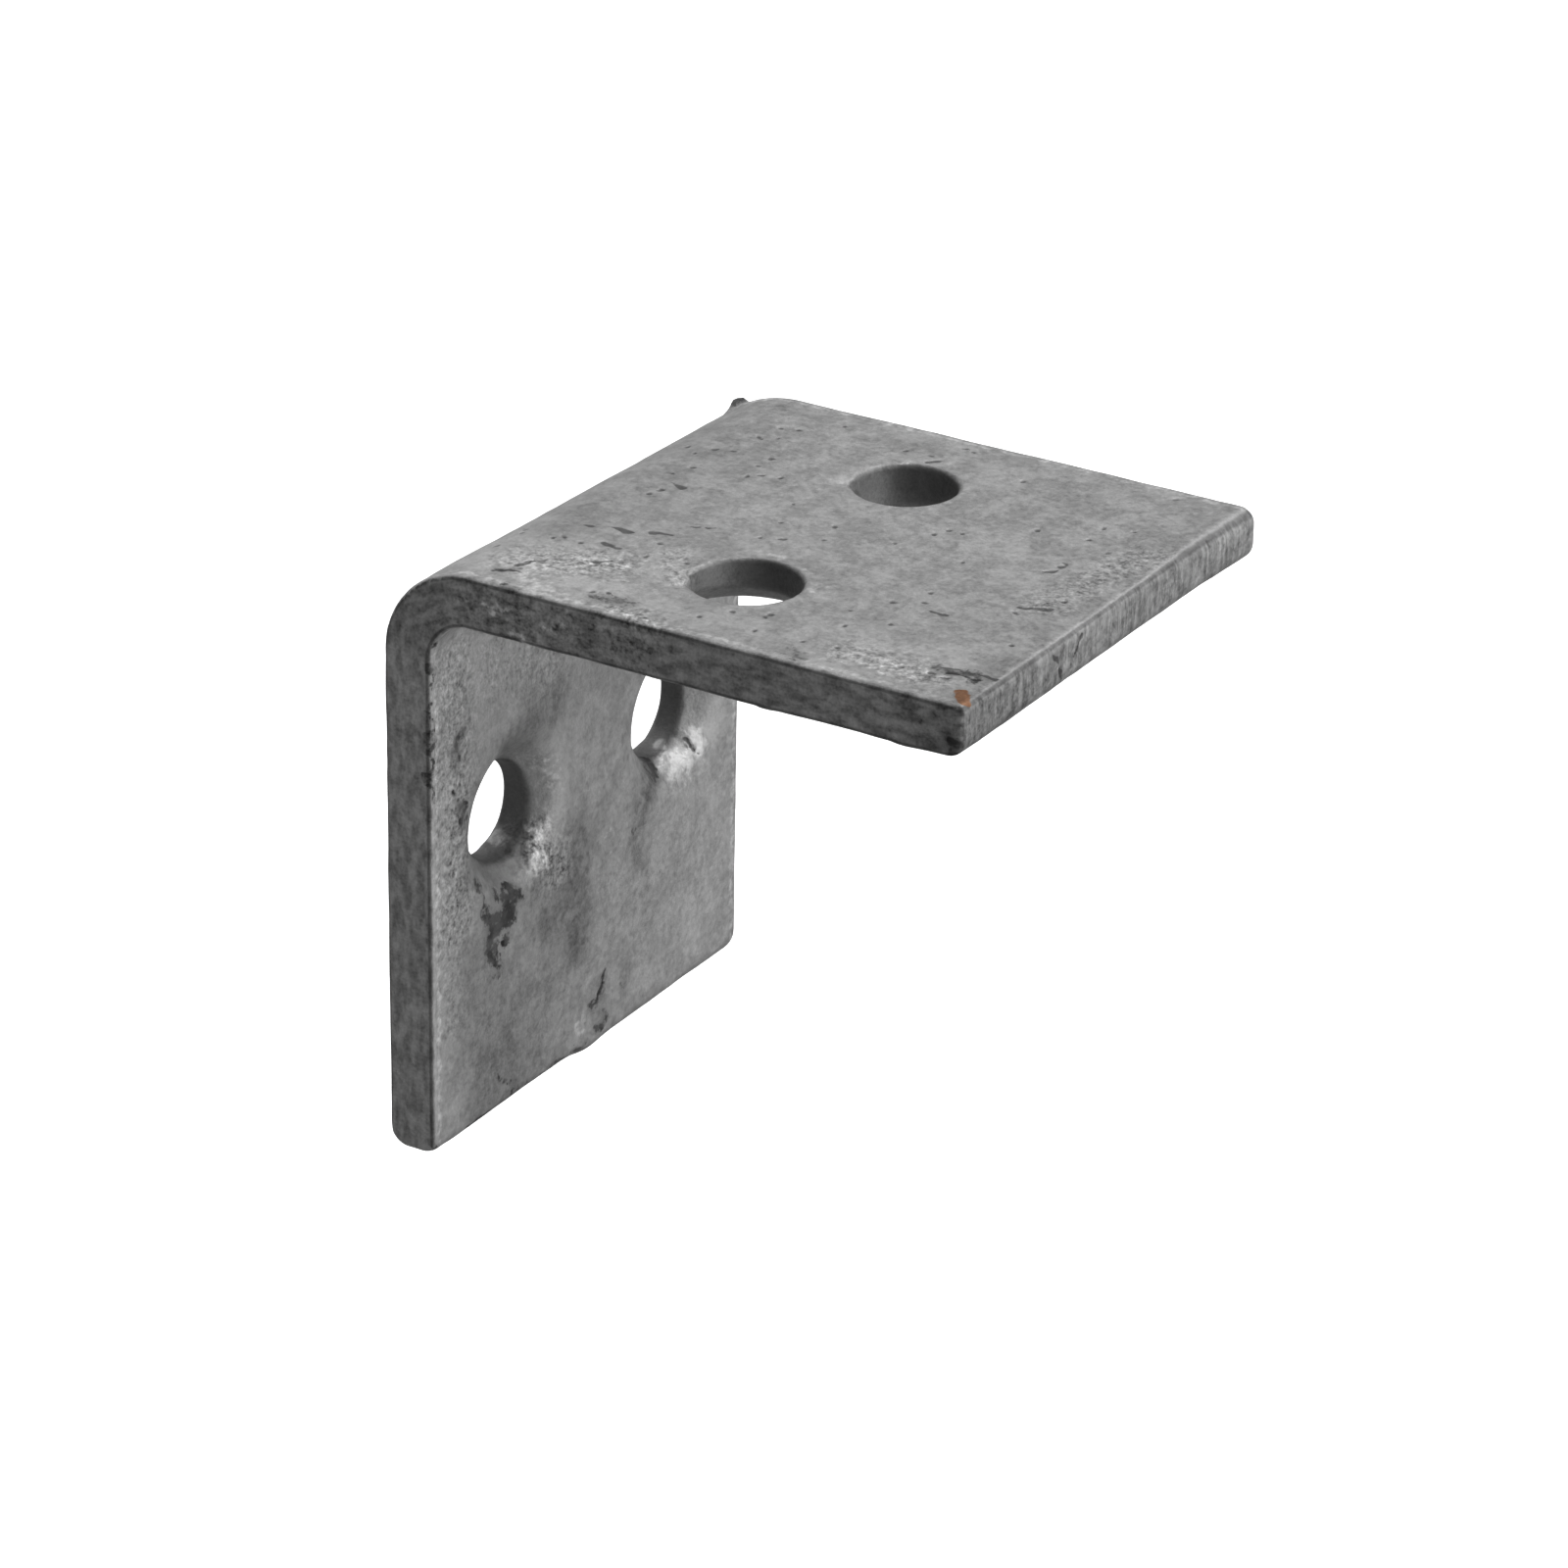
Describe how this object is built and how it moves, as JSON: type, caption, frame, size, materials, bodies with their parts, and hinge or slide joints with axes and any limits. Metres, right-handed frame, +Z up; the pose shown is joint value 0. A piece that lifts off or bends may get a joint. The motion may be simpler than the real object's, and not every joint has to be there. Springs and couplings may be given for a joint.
{
  "type": "roof bracket",
  "caption": "Right-angle roof bracket folded from hot-dip galvanised steel flat bar, with plain round bolt holes in both legs.",
  "frame": {"origin": "on the wall face (the outer face of the hanging leg), at the middle of the bar's width and at the height of that leg's bolt holes", "axes": "+X points away from the wall along the level leg, Y runs along the fold, +Z points up out of the level leg's top face"},
  "size_m": [0.0732, 0.065, 0.0732],
  "materials": {
    "galvanised_steel": "hot-dip galvanised: dull mid-grey zinc, mottled, with dark stains, fine pits and a few brighter runs"
  },
  "bodies": {
    "root": {"bracket_plate": "galvanised_steel"}
  },
  "joints": []
}
